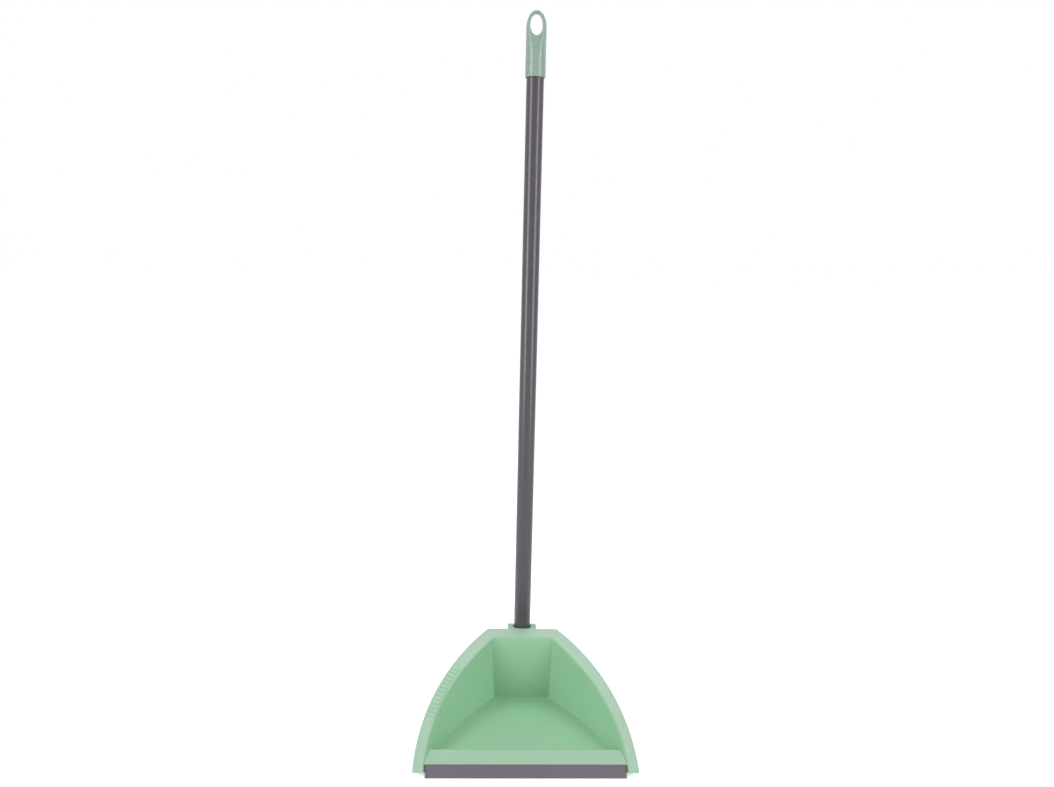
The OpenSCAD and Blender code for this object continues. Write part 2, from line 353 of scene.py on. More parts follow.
FRONT_CORNER = leaned(np.array([PAN_WIDTH / 2 - FLANGE_WIDTH, RIM_SETBACK, RIM_FRONT_HEIGHT]))
BACK_CORNER = leaned(np.array([MOUTH_BACK_WIDTH / 2, MOUTH_BACK, rim_top(MOUTH_BACK)]))
CHORD = BACK_CORNER - FRONT_CORNER
CHORD_RISE = math.sqrt(SIDE_RADIUS ** 2 - CHORD @ CHORD / 4)
SIDE_CENTRE = blend(FRONT_CORNER, BACK_CORNER, 0.5) + (
    np.array([-CHORD[1], CHORD[0]]) / np.linalg.norm(CHORD) * CHORD_RISE)


def side_face(depth, height, grown=0):
    """Half the breadth between the side walls, which are grown outwards by a thickness."""
    offset = leaned(np.array([0, depth, height])) - SIDE_CENTRE
    step = np.array([LEAN_ACROSS[0], LEAN_ALONG[0]])
    along, square = step @ offset, step @ step
    reach = SIDE_RADIUS + grown
    return (math.sqrt(along ** 2 - square * (offset @ offset - reach ** 2)) - along) / square


def back_face(height):
    """Depth of the back wall's inner face."""
    return MOUTH_BACK - (rim_top(MOUTH_BACK) - height) * math.tan(BACK_DRAFT)


LIP_SLOPE = math.atan2(LIP_HEIGHT, LIP_RUN)
STEP_FOOT = RIDGE_DEPTH + STEP_RUN
FLOOR_FRONT = STEP_FOOT - RAMP / 2
BACK_FOOT = back_face(FLOOR)
WALL_SHARES = np.linspace(0, 1, WALL_STEPS)


def below_lip(below):
    """Depth and height of a point under the lip's top edge, square to its face."""
    return np.array([LIP_RUN + below * math.sin(LIP_SLOPE), LIP_HEIGHT - below * math.cos(LIP_SLOPE)])


def pan_section(edge, inner_edge, inside, outside, ring):
    """Upper and lower line of the moulding, from the rim's edge to a ring on the floor."""
    upper = [[*edge, edge_foot(edge[1])], [*edge, rim_top(edge[1])], *inside, ring[0]]
    under = [
        ring[1], *outside[::-1],
        [*inner_edge, rim_top(inner_edge[1]) - FLANGE], [*inner_edge, edge_foot(inner_edge[1])],
    ]
    return upper, under


def side_section(share, on_floor):
    """Lines of the moulding at a share of the way from a front end of the rim to its back corner."""
    mouth = blend(RIM_SETBACK, MOUTH_BACK, share)
    foot = blend(RIM_SETBACK, BACK_FOOT, share)
    along_lip = (foot - RIM_SETBACK) / (LIP_RUN - RIM_SETBACK)
    front_foot = max(0, blend(RIM_FRONT_HEIGHT - FLANGE, 0, along_lip))
    tops = rim_top(mouth), rim_top(mouth) - FLANGE
    feet = (FLOOR, 0) if on_floor else (front_foot, front_foot)
    inside, outside = [], []
    walls = (inside, 0, tops[0], feet[0]), (outside, WALL, tops[1], feet[1])
    for line, grown, top, bottom in walls:
        for down in WALL_SHARES:
            depth, height = blend(mouth, foot, down), blend(top, bottom, down)
            line.append([side_face(depth, height, grown), depth, height])
    if on_floor:
        back = (foot - FLOOR_FRONT) / (BACK_FOOT - FLOOR_FRONT)
        plan = [inside[-1][0] - FLOOR_RING, blend(FLOOR_FRONT, BACK_FOOT - FLOOR_RING, back)]
        ring = [[*plan, FLOOR], [*plan, 0]]
    else:
        ring = [blend(np.array(inside[-1]), np.array(outside[-1]), 0.5)] * 2
    turn = share * RIM_TURN
    return pan_section(on_rim(turn, 0), on_rim(turn, EDGE), inside, outside, ring)


def back_section(breadth):
    """Lines of the moulding behind, at a share of the way from the middle to a back corner."""
    inner_edge_depth = PAN_DEPTH - EDGE
    inner_edge_run = inner_edge_depth - RIM_SETBACK
    inner_edge = RIM_CENTRE + math.sqrt((RIM_RADIUS - EDGE) ** 2 - inner_edge_run ** 2)
    inside, outside = [], []
    under_rim = rim_top(MOUTH_BACK + WALL) - FLANGE
    for down in WALL_SHARES:
        height = blend(rim_top(MOUTH_BACK), FLOOR, down)
        depth = back_face(height)
        inside.append([breadth * side_face(depth, height), depth, height])
        height = blend(under_rim, 0, down)
        depth = back_face(height) + WALL
        outside.append([breadth * side_face(depth, height, WALL), depth, height])
    plan = [breadth * (side_face(BACK_FOOT, FLOOR) - FLOOR_RING), BACK_FOOT - FLOOR_RING]
    return pan_section(
        [breadth * RIM_BACK_WIDTH / 2, PAN_DEPTH], [breadth * inner_edge, inner_edge_depth],
        inside, outside, [[*plan, FLOOR], [*plan, 0]],
    )


# Pieces of the pan

def make_tub():
    """Floor, walls and flanged rim."""
    floor_share = (FLOOR_FRONT - RIM_SETBACK) / (BACK_FOOT - RIM_SETBACK)
    shares = np.linspace(0, 1, SIDE_STATIONS, endpoint=False)
    front_shares = [*shares[shares < floor_share - WELD], floor_share - WELD]
    floor_shares = [floor_share, *shares[shares > floor_share + WELD]]
    sections = [side_section(share, False) for share in front_shares]
    sections += [side_section(share, True) for share in floor_shares]
    corner = len(sections)
    sections += [back_section(breadth) for breadth in np.linspace(1, 0, BACK_STATIONS)]
    foot_rounds = np.full((len(sections), 1), FOOT_ROUND)
    foot_rounds[:len(front_shares)] = 0
    ease = np.clip((np.array([*front_shares, *floor_shares]) - 1) / MOUTH_EASE + 1, 0, 1)
    mouth_rounds = np.full((len(sections), 1), float(MOUTH_BACK_ROUND))
    mouth_rounds[:corner, 0] = blend(MOUTH_ROUND, MOUTH_BACK_ROUND, ease)
    plain = [0] * (WALL_STEPS - 2)
    upper = rounded(
        np.array([section[0] for section in sections]).swapaxes(0, 1),
        [0, EDGE_ROUND, mouth_rounds, *plain, foot_rounds, 0],
    )
    under = rounded(
        np.array([section[1] for section in sections]).swapaxes(0, 1),
        [0, UNDER_ROUND, *plain, UNDER_ROUND, THIN_ROUND, 0],
    )
    levels = np.concatenate([upper, under])
    corner_rounds = [CORNER_ROUND if i == corner else 0 for i in range(len(sections))]
    half = rounded(levels.swapaxes(0, 1), corner_rounds)
    whole = np.concatenate([half[:-1] * [-1, 1, 1], half[::-1]]).swapaxes(0, 1)
    stations = whole.shape[1]
    rows = np.arange(whole.shape[0] * stations).reshape(whole.shape[:2]).tolist()
    faces = []
    for first, second in zip(rows, rows[1:] + rows[:1]):
        if first is not rows[len(upper) - 1]:
            faces += strip(first, second)
    for ring in (rows[len(upper) - 1], rows[len(upper)]):
        for i in range(len(front_shares), corner - 1):
            faces.append([ring[i], ring[i + 1], ring[stations - 2 - i], ring[stations - 1 - i]])
        faces.append(ring[corner - 1:stations - corner + 1])
    return to_mesh("pan_moulding", placed(whole.reshape(-1, 3)), faces)


def make_ramp():
    """Folded plate from the lip up to the ridge and down to the floor."""
    front = below_lip(0)
    ridge = np.array([RIDGE_DEPTH, RIDGE_HEIGHT])
    slope = [blend(front, ridge, share) for share in np.linspace(0, 1, RAMP_STEPS)]
    under = [
        blend(ridge - RAMP, below_lip(RAMP), share) for share in np.linspace(0, 1, RAMP_STEPS)
    ]
    step = [[STEP_FOOT, FLOOR], [STEP_FOOT, 0], [STEP_FOOT - RAMP, 0]]
    plain = [0] * (RAMP_STEPS - 2)
    outline = rounded_loop(
        [*slope, *step, *under],
        [THIN_ROUND, *plain, RIDGE_ROUND, 0, 0, 0, THIN_ROUND, *plain, THIN_ROUND],
    )
    ends = [side_face(depth, height, WALL / 2) for depth, height in outline]
    points = [[side * end, *place] for side in (-1, 1) for end, place in zip(ends, outline)]
    count = len(outline)
    faces = ring_strip(list(range(count)), list(range(count, 2 * count)))
    return to_mesh("ramp", placed(points), faces)


def column_outline(front, inset):
    """Rounded outline of the socket column, drawn in by an inset."""
    half = COLUMN_WIDTH / 2 - inset
    back = COLUMN_BACK - inset
    middle = blend(front, back, 0.5)
    corners = [
        [half, middle], [half, back], [0, back], [-half, back],
        [-half, middle], [-half, front], [0, front], [half, front],
    ]
    return rounded_loop(corners, [0, COLUMN_CORNER] * 4, COLUMN_ARC_STEPS)


def column_top(depth):
    """Height of the column's sloping top behind the rim, and inside the flange in front of it."""
    if depth < PAN_DEPTH - EDGE:
        return rim_top(depth) - FLANGE / 2
    start = RIM_BACK_HEIGHT - COLUMN_STEP
    return blend(start, COLUMN_HEIGHT, (depth - PAN_DEPTH) / (COLUMN_BACK - PAN_DEPTH))


def make_column():
    """Hollow column behind the back wall, with the socket for the tube."""
    count = len(column_outline(0, 0))
    turns = np.linspace(0, 2 * math.pi, count, endpoint=False)
    mouth_bottom = COLUMN_HEIGHT - SOCKET_MOUTH_DEPTH
    funnel = (SOCKET_MOUTH - SOCKET_DIAMETER) / 2
    roof = COLUMN_HEIGHT - COLUMN_WALL

    def outline(height, inset=0, front=None):
        start = back_face(height) + WALL / 2 if front is None else front
        return [[x, depth, height] for x, depth in column_outline(start, inset)]

    def on_top(ring, drop):
        return [[x, depth, column_top(depth) - drop] for x, depth, _ in ring]

    def circle(diameter, height):
        reach = diameter / 2
        ring = [[reach * math.cos(turn), TUBE_PLACE + reach * math.sin(turn)] for turn in turns]
        return [[*plan, column_top(plan[1]) if height is None else height] for plan in ring]

    socket_outside = TUBE_DIAMETER + 2 * COLUMN_WALL
    hollow_front = back_face(0) + WALL + COLUMN_SKIN
    roof_front = back_face(roof) + WALL + COLUMN_SKIN
    rings = [
        circle(socket_outside, SOCKET_FLOOR - COLUMN_WALL), circle(socket_outside, roof),
        outline(roof, COLUMN_WALL, roof_front), outline(0, COLUMN_WALL, hollow_front), outline(0),
        on_top(outline(COLUMN_HEIGHT), COLUMN_ROUND),
    ]
    for turn in np.linspace(0, math.pi / 2, ARC_STEPS + 1)[1:]:
        inset, drop = COLUMN_ROUND * (1 - math.cos(turn)), COLUMN_ROUND * (1 - math.sin(turn))
        rings.append(on_top(outline(COLUMN_HEIGHT, inset), drop))
    shelf = [[x, max(depth, PAN_DEPTH - EDGE / 2), height] for x, depth, height in rings[-1]]
    rings += [
        on_top(shelf, 0), circle(SOCKET_MOUTH, None), circle(SOCKET_MOUTH, mouth_bottom),
        circle(SOCKET_DIAMETER, mouth_bottom - funnel), circle(SOCKET_DIAMETER, SOCKET_FLOOR),
    ]
    rows = np.arange(len(rings) * count).reshape(-1, count).tolist()
    faces = []
    for first, second in zip(rows, rows[1:]):
        faces += ring_strip(first, second)
    return to_mesh("column", placed(np.concatenate(rings)), faces)


def make_comb():
    """Bars across the left flange that strip a broom's bristles."""
    comb = bmesh.new()
    reach = RIM_RADIUS - COMB_EDGE_GAP - BAR_LENGTH / 2
    for i in range(COMB_BARS):
        turn = (COMB_START + i * COMB_PITCH) / RIM_RADIUS
        bar = bmesh.new()
        bmesh.ops.create_cube(bar, size=1)
        size = (BAR_LENGTH, BAR_WIDTH, BAR_HEIGHT + BAR_ROOT)
        bmesh.ops.scale(bar, vec=size, verts=bar.verts)
        bmesh.ops.translate(bar, vec=(0, 0, (BAR_HEIGHT - BAR_ROOT) / 2), verts=bar.verts)
        round_edges(bar, bar.edges[:], BAR_ROUND)
        for corner in bar.verts:
            along, across, height = corner.co
            x = RIM_CENTRE + (reach + along) * math.cos(turn) - across * math.sin(turn)
            depth = RIM_SETBACK + (reach + along) * math.sin(turn) + across * math.cos(turn)
            corner.co = (-x, LIP_EDGE + depth, rim_top(depth) + height)
        bmesh.ops.reverse_faces(bar, faces=bar.faces)
        one = bpy.data.meshes.new("bar")
        bar.to_mesh(one)
        bar.free()
        comb.from_mesh(one)
        bpy.data.meshes.remove(one)
    return finished("comb", comb)


def make_lip():
    """Soft wedge along the front edge."""
    half = (lip_high[0] - lip_low[0]) / 2
    profile = [(0, 0), (LIP_RUN, LIP_HEIGHT), below_lip(LIP_ROOT), (LIP_FOOT, 0)]
    shape = bmesh.new()
    ends = [
        [shape.verts.new((x, LIP_EDGE + depth, height)) for depth, height in profile]
        for x in (-half, half)
    ]
    for face in ring_strip(*ends):
        shape.faces.new(face)
    for end in ends:
        shape.faces.new(end)
    bmesh.ops.recalc_face_normals(shape, faces=shape.faces)
    corners = [shape.edges.get((end[1], end[2])) for end in ends]
    round_edges(shape, corners, LIP_CORNER, LIP_ARC_STEPS)
    folds = [edge for edge in shape.edges if edge.calc_face_angle() > LIP_FOLD]
    round_edges(shape, folds, LIP_ROUND)
    return finished("floor_lip", shape)


# Pieces of the handle

def make_tube():
    """Plastic coat of the tube."""
    inside, outside = STEEL_DIAMETER / 2 + BOND_GAP, TUBE_DIAMETER / 2
    low, high = tube_low[2], tube_high[2]
    corners = [[inside, low], [outside, low], [outside, high], [inside, high]]
    return turned("tube_coat", rounded_loop(corners, [0, TUBE_ROUND, TUBE_ROUND, 0], SMALL_ARC_STEPS))


def make_plug():
    """Plug in the tube's lower end."""
    low, high = plug_low[2], plug_high[2]
    head, shank = TUBE_DIAMETER / 2, STEEL_BORE / 2 - BOND_GAP
    head_top = low + PLUG_NOSE + PLUG_HEAD
    bore = shank - PLUG_WALL
    corners = [
        [AXIS_GAP, low], [PLUG_NOSE_DIAMETER / 2, low], [head, low + PLUG_NOSE], [head, head_top],
        [shank, head_top], [shank, high], [bore, high], [bore, head_top], [AXIS_GAP, head_top],
    ]
    radii = [0, PLUG_ROUND, PLUG_ROUND, PLUG_ROUND, 0, PLUG_ROUND, PLUG_ROUND, 0, 0]
    return turned("end_plug", rounded_loop(corners, radii, SMALL_ARC_STEPS))


def soft_max(first, second, radius):
    """Larger of two distances, with the corner between them rounded."""
    near = np.maximum(radius - np.abs(first - second), 0)
    return np.maximum(first, second) + near ** 2 / (4 * radius)


def oval_distance(x, z, half_width, half_height):
    """Distance from an oval, less than zero inside it."""
    level = np.sqrt((x / half_width) ** 2 + (z / half_height) ** 2) + WELD
    steepness = np.sqrt((x / half_width ** 2) ** 2 + (z / half_height ** 2) ** 2) + WELD * MM
    return (level - 1) * level / steepness


def cap_distance(x, y, z):
    """Distance from the cap's surface, less than zero in its material. z is counted from its mouth."""
    radius = CAP_DIAMETER / 2
    flare = (FLARE_DIAMETER - CAP_DIAMETER) / 2
    reach = np.sqrt(x ** 2 + y ** 2)
    sleeve = reach - radius - flare * np.clip(1 - z / FLARE_HEIGHT, 0, 1)
    crown = oval_distance(x, np.maximum(z - CAP_LENGTH + CROWN_HEIGHT, 0), radius, CROWN_HEIGHT)
    lean = (radius - LOOP_THICKNESS / 2) / LOOP_LENGTH
    flat = (np.abs(y) - radius + lean * (z - CAP_LENGTH + LOOP_LENGTH)) / math.hypot(1, lean)
    hole = -oval_distance(x, z - HOLE_PLACE, HOLE_WIDTH / 2, HOLE_HEIGHT / 2)
    bore = -np.maximum(reach - TUBE_DIAMETER / 2 - BOND_GAP, z - CAP_BORE_DEPTH)
    body = soft_max(soft_max(np.maximum(sleeve, crown), flat, LOOP_ROUND), -z, CAP_MOUTH_ROUND)
    return soft_max(soft_max(body, hole, HOLE_ROUND), bore, CAP_MOUTH_ROUND / 2)


def net(distance, low, high, cell):
    """Four-sided mesh on the zero level of a distance, with a point in each cell that it crosses."""
    lines = [np.arange(start, end + cell, cell) for start, end in zip(low, high)]
    field = distance(*np.meshgrid(*lines, indexing="ij"))
    steps = [np.array([i, j, k]) for i in (0, 1) for j in (0, 1) for k in (0, 1)]
    size = np.array(field.shape) - 1
    windows = [tuple(slice(s, s + n) for s, n in zip(step, size)) for step in steps]
    corners = np.stack([field[window] for window in windows], -1)
    crossed = (corners.min(-1) < 0) & (corners.max(-1) >= 0)
    cells = np.argwhere(crossed)
    values = corners[crossed]
    total, hits = np.zeros((len(cells), 3)), np.zeros((len(cells), 1))
    for a, first in enumerate(steps):
        for b, second in enumerate(steps):
            if b > a and abs(second - first).sum() == 1:
                cut = (values[:, a] < 0) != (values[:, b] < 0)
                share = values[cut, a] / (values[cut, a] - values[cut, b])
                total[cut] += first + share[:, None] * (second - first)
                hits[cut] += 1
    points = (cells + total / hits) * cell + [line[0] for line in lines]
    for _ in range(CAP_PASSES):
        here = distance(*points.T)
        steep = np.stack([
            (distance(*(points + step).T) - distance(*(points - step).T)) / (2 * WELD)
            for step in np.eye(3) * WELD
        ], -1)
        points -= steep * (here / (steep ** 2).sum(-1).clip(LEAST_STEEPNESS))[:, None]
    number = np.full(crossed.shape, -1)
    number[crossed] = np.arange(len(cells))
    faces = []
    for axis in range(3):
        side, other = (axis + 1) % 3, (axis + 2) % 3
        ahead = np.roll(field, -1, axis)
        edges = np.argwhere((field < 0) != (ahead < 0))
        edges = edges[(edges[:, axis] < size[axis]) & (edges[:, [side, other]] > 0).all(-1)]
        edges = edges[(edges[:, [side, other]] < size[[side, other]]).all(-1)]
        around = []
        for s, o in ((1, 1), (0, 1), (0, 0), (1, 0)):
            place = edges.copy()
            place[:, side] -= s
            place[:, other] -= o
            around.append(number[tuple(place.T)])
        faces += np.stack(around, -1).tolist()
    return points, faces


def make_cap():
    """Cap with a flared mouth, flattened above into a rounded loop."""
    half = FLARE_DIAMETER / 2 + CAP_MARGIN
    low, high = (-half, -half, -CAP_MARGIN), (half, half, CAP_LENGTH + CAP_MARGIN)
    points, faces = net(cap_distance, low, high, CAP_CELL)
    points += [0, TUBE_PLACE, cap_low[2]]
    return to_mesh("hanging_cap", placed(points), faces, CAP_SHARP)


# Finishes

# Painted sheen on the rim's top and the ramp: how far below and above these surfaces it reaches, in
# millimetres, and its share on the ramp
SHEEN_REACH = (0.15, 0.9)
SHEEN_ABOVE = (0.1, 0.4)
RAMP_SHEEN = 0.6
NOISE_ROUGHNESS = 0.55
PLASTIC_INDEX = 1.49
RUBBER_INDEX = 1.5
COAT_INDEX = 1.5


def linear(red, green, blue):
    """Linear colour from the 0 to 255 values seen on a screen, by the sRGB curve."""
    return tuple(
        value / 255 / 12.92 if value <= 10 else ((value / 255 + 0.055) / 1.055) ** 2.4
        for value in (red, green, blue)
    )


# Darker and lighter colour of each finish
PAN_GREENS = linear(133, 180, 142), linear(142, 188, 152)
# Paler, greyer green that paints the sheen of the lamp above onto the rim and ramp
SHEEN_GREEN = linear(140, 170, 148)
CAP_GREENS = linear(133, 157, 143), linear(141, 164, 150)
LIP_GREYS = linear(84, 76, 86), linear(95, 87, 97)
COAT_GREYS = linear(66, 61, 69), linear(76, 70, 79)
PLUG_GREYS = linear(60, 58, 62), linear(74, 72, 77)
STEEL_GREYS = linear(160, 162, 165), linear(190, 192, 194)


class Signal:
    """Output of a shader node that takes part in sums."""

    def __init__(self, tree, socket):
        self.tree = tree
        self.socket = socket

    def _sum(self, operation, first, second):
        return self.tree.add("ShaderNodeMath", {"operation": operation}, {0: first, 1: second})

    def __add__(self, other):
        return self._sum("ADD", self, other)

    def __radd__(self, other):
        return self._sum("ADD", other, self)

    def __sub__(self, other):
        return self._sum("SUBTRACT", self, other)

    def __rsub__(self, other):
        return self._sum("SUBTRACT", other, self)

    def __mul__(self, other):
        return self._sum("MULTIPLY", self, other)

    def __rmul__(self, other):
        return self._sum("MULTIPLY", other, self)

    def __abs__(self):
        return self.tree.add("ShaderNodeMath", {"operation": "ABSOLUTE"}, {0: self})


class Nodes:
    """Node tree of a material or of the surroundings."""

    def __init__(self, owner):
        owner.use_nodes = True
        self.nodes = owner.node_tree.nodes
        self.links = owner.node_tree.links

    def feed(self, socket, value):
        """Links a signal to a socket, or sets the socket to a constant."""
        if isinstance(value, Signal):
            self.links.new(value.socket, socket)
        else:
            socket.default_value = value

    def add(self, kind, settings=None, inputs=None, output=0):
        """Adds a node and gives one of its outputs."""
        node = self.nodes.new(kind)
        for name, value in (settings or {}).items():
            setattr(node, name, value)
        for name, value in (inputs or {}).items():
            self.feed(node.inputs[name], value)
        return Signal(self, node.outputs[output])


class Finish(Nodes):
    """Material with the nodes that make its look."""

    def __init__(self, name):
        self.material = bpy.data.materials.new(name)
        super().__init__(self.material)
        self.shader = self.nodes["Principled BSDF"]

    def shade(self, **sockets):
        """Feeds the surface's sockets, each named in small letters."""
        for name, value in sockets.items():
            title = name.replace("_", " ").title().replace("Ior", "IOR")
            self.feed(self.shader.inputs[title], value)

    def place(self, stretch):
        """Place on the object in metres, stretched by a factor on each axis."""
        spot = self.add("ShaderNodeTexCoord", output="Object")
        return self.add("ShaderNodeVectorMath", {"operation": "MULTIPLY"}, {0: spot, 1: stretch})

    def along(self, axis):
        """Place on the object along one axis, in millimetres."""
        spot = self.add("ShaderNodeTexCoord", output="Object")
        return self.add("ShaderNodeSeparateXYZ", inputs={0: spot}, output=axis) * (1 / MM)

    def noise(self, scale, stretch=(1, 1, 1), detail=3):
        """Soft noise between zero and one."""
        return self.add("ShaderNodeTexNoise", inputs={
            "Vector": self.place(stretch),
            "Scale": scale,
            "Detail": detail,
            "Roughness": NOISE_ROUGHNESS,
        })

    def tint(self, share, first, second):
        """Colour that lies a share of the way from the first to the second."""
        first, second = [one if isinstance(one, Signal) else (*one, 1) for one in (first, second)]
        return self.add("ShaderNodeMix", {"data_type": "RGBA", "clamp_factor": True}, {
            0: share, 6: first, 7: second}, output=2)

    def fade(self, value, full, none):
        """One up to the first value, falling to zero at the second."""
        return self.add("ShaderNodeMapRange", {"clamp": True}, {
            "Value": value, "From Min": full, "From Max": none, "To Min": 1, "To Max": 0})

    def bump(self, height, strength, distance):
        """Surface direction of a fine relief."""
        return self.add("ShaderNodeBump", inputs={
            "Height": height, "Strength": strength, "Distance": distance})


def painted_sheen(finish):
    """Painted sheen: one on the rim's top and less on the ramp, where a paler green stands in for the
    gloss of the lamp above, and zero on the rest.
    """
    depth = finish.along("Y") - LIP_EDGE
    height = finish.along("Z")
    under_rim = depth * RIM_SLOPE + (RIM_FRONT_HEIGHT - RIM_SETBACK * RIM_SLOPE) - height
    off_ramp = abs(depth * RAMP_SLOPE + (LIP_HEIGHT - LIP_RUN * RAMP_SLOPE) - height)
    rim = finish.fade(under_rim, *SHEEN_REACH) * finish.fade(under_rim * -1, *SHEEN_ABOVE)
    ramp = finish.fade(off_ramp, *SHEEN_REACH) * finish.fade(depth, RIDGE_DEPTH, STEP_FOOT)
    return rim + ramp * RAMP_SHEEN


def pan_plastic():
    """Pale green moulding with a fine grain and faint flow marks, and a paler, greyer painted sheen on
    the rim and ramp.
    """
    finish = Finish("pan_plastic")
    cloud = finish.noise(scale=14)
    flow = finish.noise(scale=60, stretch=(0.12, 1, 1), detail=4)
    grain = finish.noise(scale=2600, detail=2)
    mottled_green = finish.tint(cloud * 0.6 + flow * 0.5 - 0.05, *PAN_GREENS)
    finish.shade(
        # The rim and ramp are blended towards a paler, greyer green: painted sheen
        base_color=finish.tint(painted_sheen(finish) * (cloud + 0.45), mottled_green, SHEEN_GREEN),
        roughness=0.33 + 0.08 * flow + 0.05 * grain,
        normal=finish.bump(grain * 0.7 + flow * 0.3, strength=0.22, distance=0.00012),
        ior=PLASTIC_INDEX,
        specular_ior_level=0.85,
    )
    return finish.material


def cap_plastic():
    """Smoother pale green moulding of the cap."""
    finish = Finish("cap_plastic")
    cloud = finish.noise(scale=40)
    grain = finish.noise(scale=3000, detail=2)
    finish.shade(
        base_color=finish.tint(cloud, *CAP_GREENS),
        roughness=0.23 + 0.05 * grain,
        normal=finish.bump(grain, strength=0.06, distance=0.00003),
        ior=PLASTIC_INDEX,
    )
    return finish.material


def lip_rubber():
    """Matt purple-grey rubber with a faint drawn grain."""
    finish = Finish("lip_rubber")
    cloud = finish.noise(scale=25)
    drawn = finish.noise(scale=420, stretch=(0.05, 1, 1))
    finish.shade(
        base_color=finish.tint(cloud * 0.6 + drawn * 0.4, *LIP_GREYS),
        roughness=0.55 + 0.12 * drawn,
        normal=finish.bump(drawn, strength=0.15, distance=0.0001),
        ior=RUBBER_INDEX,
    )
    return finish.material


def tube_coat():
    """Satin purple-grey coat with faint lines along the tube."""
    finish = Finish("tube_coat")
    cloud = finish.noise(scale=9, stretch=(1, 1, 0.4))
    drawn = finish.noise(scale=700, stretch=(1, 1, 0.02), detail=2)
    finish.shade(
        base_color=finish.tint(cloud * 0.7 + drawn * 0.3, *COAT_GREYS),
        roughness=0.21 + 0.08 * drawn,
        normal=finish.bump(drawn, strength=0.08, distance=0.00006),
        ior=COAT_INDEX,
    )
    return finish.material


def plug_plastic():
    """Plain dark moulding of the plug."""
    finish = Finish("plug_plastic")
    grain = finish.noise(scale=1800, detail=2)
    finish.shade(
        base_color=finish.tint(grain, *PLUG_GREYS),
        roughness=0.5 + 0.1 * grain,
        normal=finish.bump(grain, strength=0.15, distance=0.0001),
    )
    return finish.material


def tube_steel():
    """Drawn steel of the tube under its coat."""
    finish = Finish("tube_steel")
    drawn = finish.noise(scale=900, stretch=(1, 1, 0.02), detail=2)
    finish.shade(
        base_color=finish.tint(drawn, *STEEL_GREYS),
        roughness=0.28 + 0.15 * drawn,
        metallic=1.0,
        normal=finish.bump(drawn, strength=0.1, distance=0.00005),
    )
    return finish.material


def dress(piece, finish, body, slot, *nodes):
    """Gives a piece its finish and its place in the part."""
    piece.data.materials.clear()
    piece.data.materials.append(finish)
    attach(piece, body)
    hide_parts(*nodes)


# Stage, light and camera

FLOOR_SIZE = 30
FLOOR_DROP = 0.0002
FLOOR_PALE = (0.86, 0.86, 0.86, 1)
FLOOR_ROUGHNESS = 0.9
FLOOR_GLOW = 0.45
FLOOR_FAR_GLOW = 0.8
FLOOR_FADE = 1.5
AMBIENT = 0.2
CAMERA_PLACE = Vector((-0.04733, LIP_EDGE * MM - 0.92272, 0.57135))
CAMERA_PITCH = math.radians(8.881)
CAMERA_YAW = math.radians(2.356)
CAMERA_ROLL = math.radians(1.378)
IMAGE_WIDTH = 1054
FOCAL_PIXELS = 914
SENSOR = 36
CAMERA_NEAR = 0.01
HANDLE_MIDDLE = 0.4
AIM = Vector((0, TUBE_PLACE * MM + LIP_EDGE * MM, HANDLE_MIDDLE))
PAN_AIM = (0, 0, 0.05)
STRIPS = (("left_strip", -52, 31), ("right_strip", 48, 28))
STRIP_AWAY = 2.2
STRIP_RISE = 0.35
STRIP_SIZE = (0.8, 2)
TOP_LAMP_PLACE = (0.07, 0.46, 1.6)
TOP_LAMP_SIZE = (0.9, 0.7)
TOP_LAMP_WATTS = 5.2
SIDE_LAMPS = (("left_lamp", -1.4), ("right_lamp", 1.4))
SIDE_LAMP_PLACE = (-0.4, 1.6)
SIDE_LAMP_SIZE = (1, 1)
SIDE_LAMP_WATTS = 1.8
SIDE_LAMP_SPREAD = math.radians(60)


def seen_direct(tree):
    """One for rays that show the surroundings, straight, by gloss or through glass, else zero."""
    straight, gloss, glass = [
        tree.add("ShaderNodeLightPath", output=name)
        for name in ("Is Camera Ray", "Is Glossy Ray", "Is Transmission Ray")
    ]
    return tree.add("ShaderNodeClamp", inputs={"Value": straight + gloss + glass})


def make_floor():
    """Pale floor that keeps the shadow."""
    mesh = bpy.data.meshes.new("studio_floor")
    half = FLOOR_SIZE / 2
    sides = ((-1, -1), (1, -1), (1, 1), (-1, 1))
    mesh.from_pydata([(x * half, y * half, -FLOOR_DROP) for x, y in sides], [], [(0, 1, 2, 3)])
    floor = bpy.data.objects.new("studio_floor", mesh)
    bpy.context.scene.collection.objects.link(floor)
    finish = Finish("studio_floor")
    spot = finish.add("ShaderNodeTexCoord", output="Object")
    away = finish.add("ShaderNodeVectorMath", {"operation": "LENGTH"}, {0: spot}, output="Value")
    glow = finish.tint(away * (1 / FLOOR_FADE), (FLOOR_GLOW,) * 3, (FLOOR_FAR_GLOW,) * 3)
    finish.shade(
        base_color=FLOOR_PALE, roughness=FLOOR_ROUGHNESS,
        emission_color=glow, emission_strength=seen_direct(finish),
    )
    mesh.materials.append(finish.material)


def make_world():
    """White surroundings for the camera, softer ones for the light."""
    world = bpy.data.worlds.new("studio")
    bpy.context.scene.world = world
    tree = Nodes(world)
    sky = tree.nodes["Background"]
    tree.feed(sky.inputs["Color"], (1, 1, 1, 1))
    tree.feed(sky.inputs["Strength"], seen_direct(tree) * (1 - AMBIENT) + AMBIENT)


def make_lamp(name, place, aim, size, watts, spread=math.pi):
    """Soft rectangular lamp turned towards a point."""
    lamp = bpy.data.lights.new(name, "AREA")
    lamp.shape = "RECTANGLE"
    lamp.size, lamp.size_y = size
    lamp.energy = watts
    lamp.spread = spread
    stand = bpy.data.objects.new(name, lamp)
    stand.location = place
    stand.rotation_euler = (Vector(aim) - Vector(place)).to_track_quat("-Z", "Y").to_euler()
    bpy.context.scene.collection.objects.link(stand)


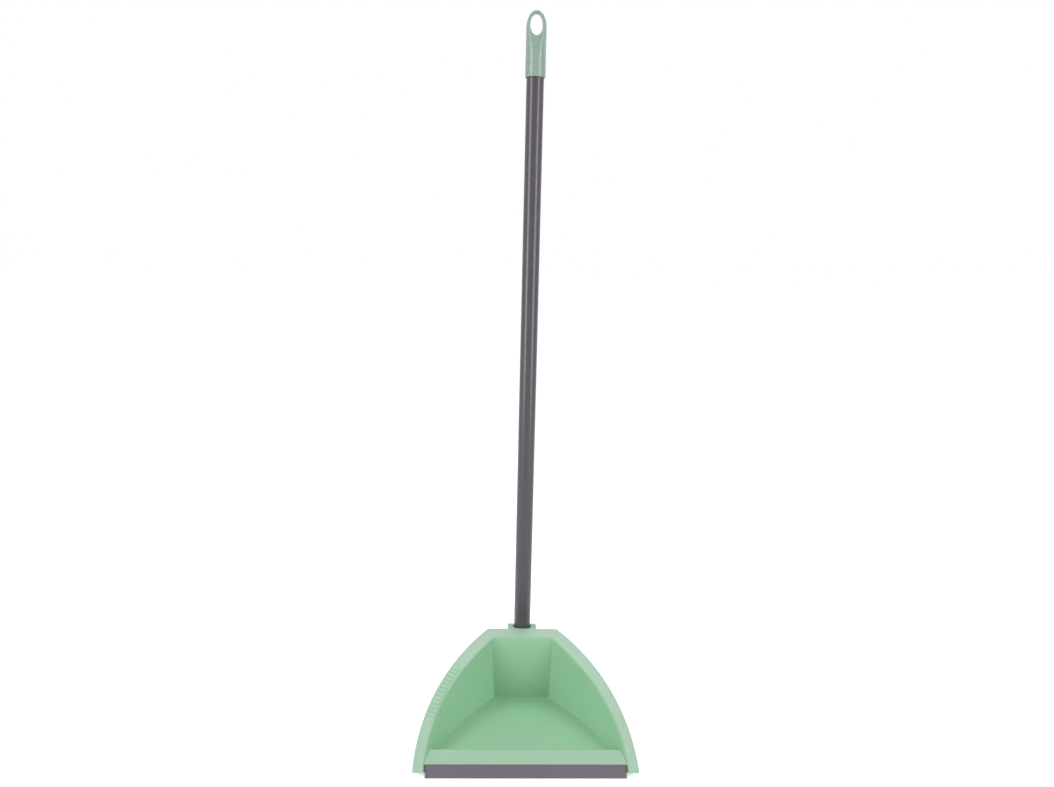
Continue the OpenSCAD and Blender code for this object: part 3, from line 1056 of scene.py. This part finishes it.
def make_lights():
    """Two tall strips beside the camera, a lamp above, and two high narrow beams on the pan."""
    for name, turn, watts in STRIPS:
        angle = math.radians(turn)
        away = Vector((math.sin(angle), -math.cos(angle), 0)) * STRIP_AWAY
        place = AIM + away + Vector((0, 0, STRIP_RISE))
        make_lamp(name, place, (AIM.x, AIM.y, place.z), STRIP_SIZE, watts)
    make_lamp("top_lamp", TOP_LAMP_PLACE, PAN_AIM, TOP_LAMP_SIZE, TOP_LAMP_WATTS)
    for name, x in SIDE_LAMPS:
        place = (x, *SIDE_LAMP_PLACE)
        make_lamp(name, place, PAN_AIM, SIDE_LAMP_SIZE, SIDE_LAMP_WATTS, SIDE_LAMP_SPREAD)


def make_camera():
    """Camera at the photo's viewing angle."""
    camera = bpy.data.objects.new("camera", bpy.data.cameras.new("camera"))
    camera.data.sensor_fit = "HORIZONTAL"
    camera.data.sensor_width = SENSOR
    camera.data.lens = FOCAL_PIXELS / IMAGE_WIDTH * SENSOR
    camera.data.clip_start = CAMERA_NEAR
    ahead = Vector((
        math.sin(CAMERA_YAW) * math.cos(CAMERA_PITCH),
        math.cos(CAMERA_YAW) * math.cos(CAMERA_PITCH),
        -math.sin(CAMERA_PITCH),
    ))
    level = Vector((math.cos(CAMERA_YAW), -math.sin(CAMERA_YAW), 0))
    upright = level.cross(ahead)
    right = level * math.cos(CAMERA_ROLL) + upright * math.sin(CAMERA_ROLL)
    up = upright * math.cos(CAMERA_ROLL) - level * math.sin(CAMERA_ROLL)
    bearing = Matrix((right, up, -ahead)).transposed().to_4x4()
    camera.matrix_world = Matrix.Translation(CAMERA_PLACE) @ bearing
    bpy.context.scene.collection.objects.link(camera)
    bpy.context.scene.camera = camera


make_camera()
make_world()
make_floor()
make_lights()
bpy.context.scene.view_settings.view_transform = "Standard"

moulding = joined(make_tub(), make_ramp(), make_column(), make_comb())
dress(moulding, pan_plastic(), "pan", "pan_plastic", "pan_body")
dress(make_lip(), lip_rubber(), "pan", "lip_rubber", "lip_strip")
dress(make_tube(), tube_coat(), "handle", "tube_coat", "tube_sleeve")
dress(make_plug(), plug_plastic(), "handle", "plug_plastic", "tube_plug")
dress(make_cap(), cap_plastic(), "handle", "cap_plastic", "hanger_cap")
frame["nodes"]["handle_tube"].data.materials.clear()
frame["nodes"]["handle_tube"].data.materials.append(tube_steel())
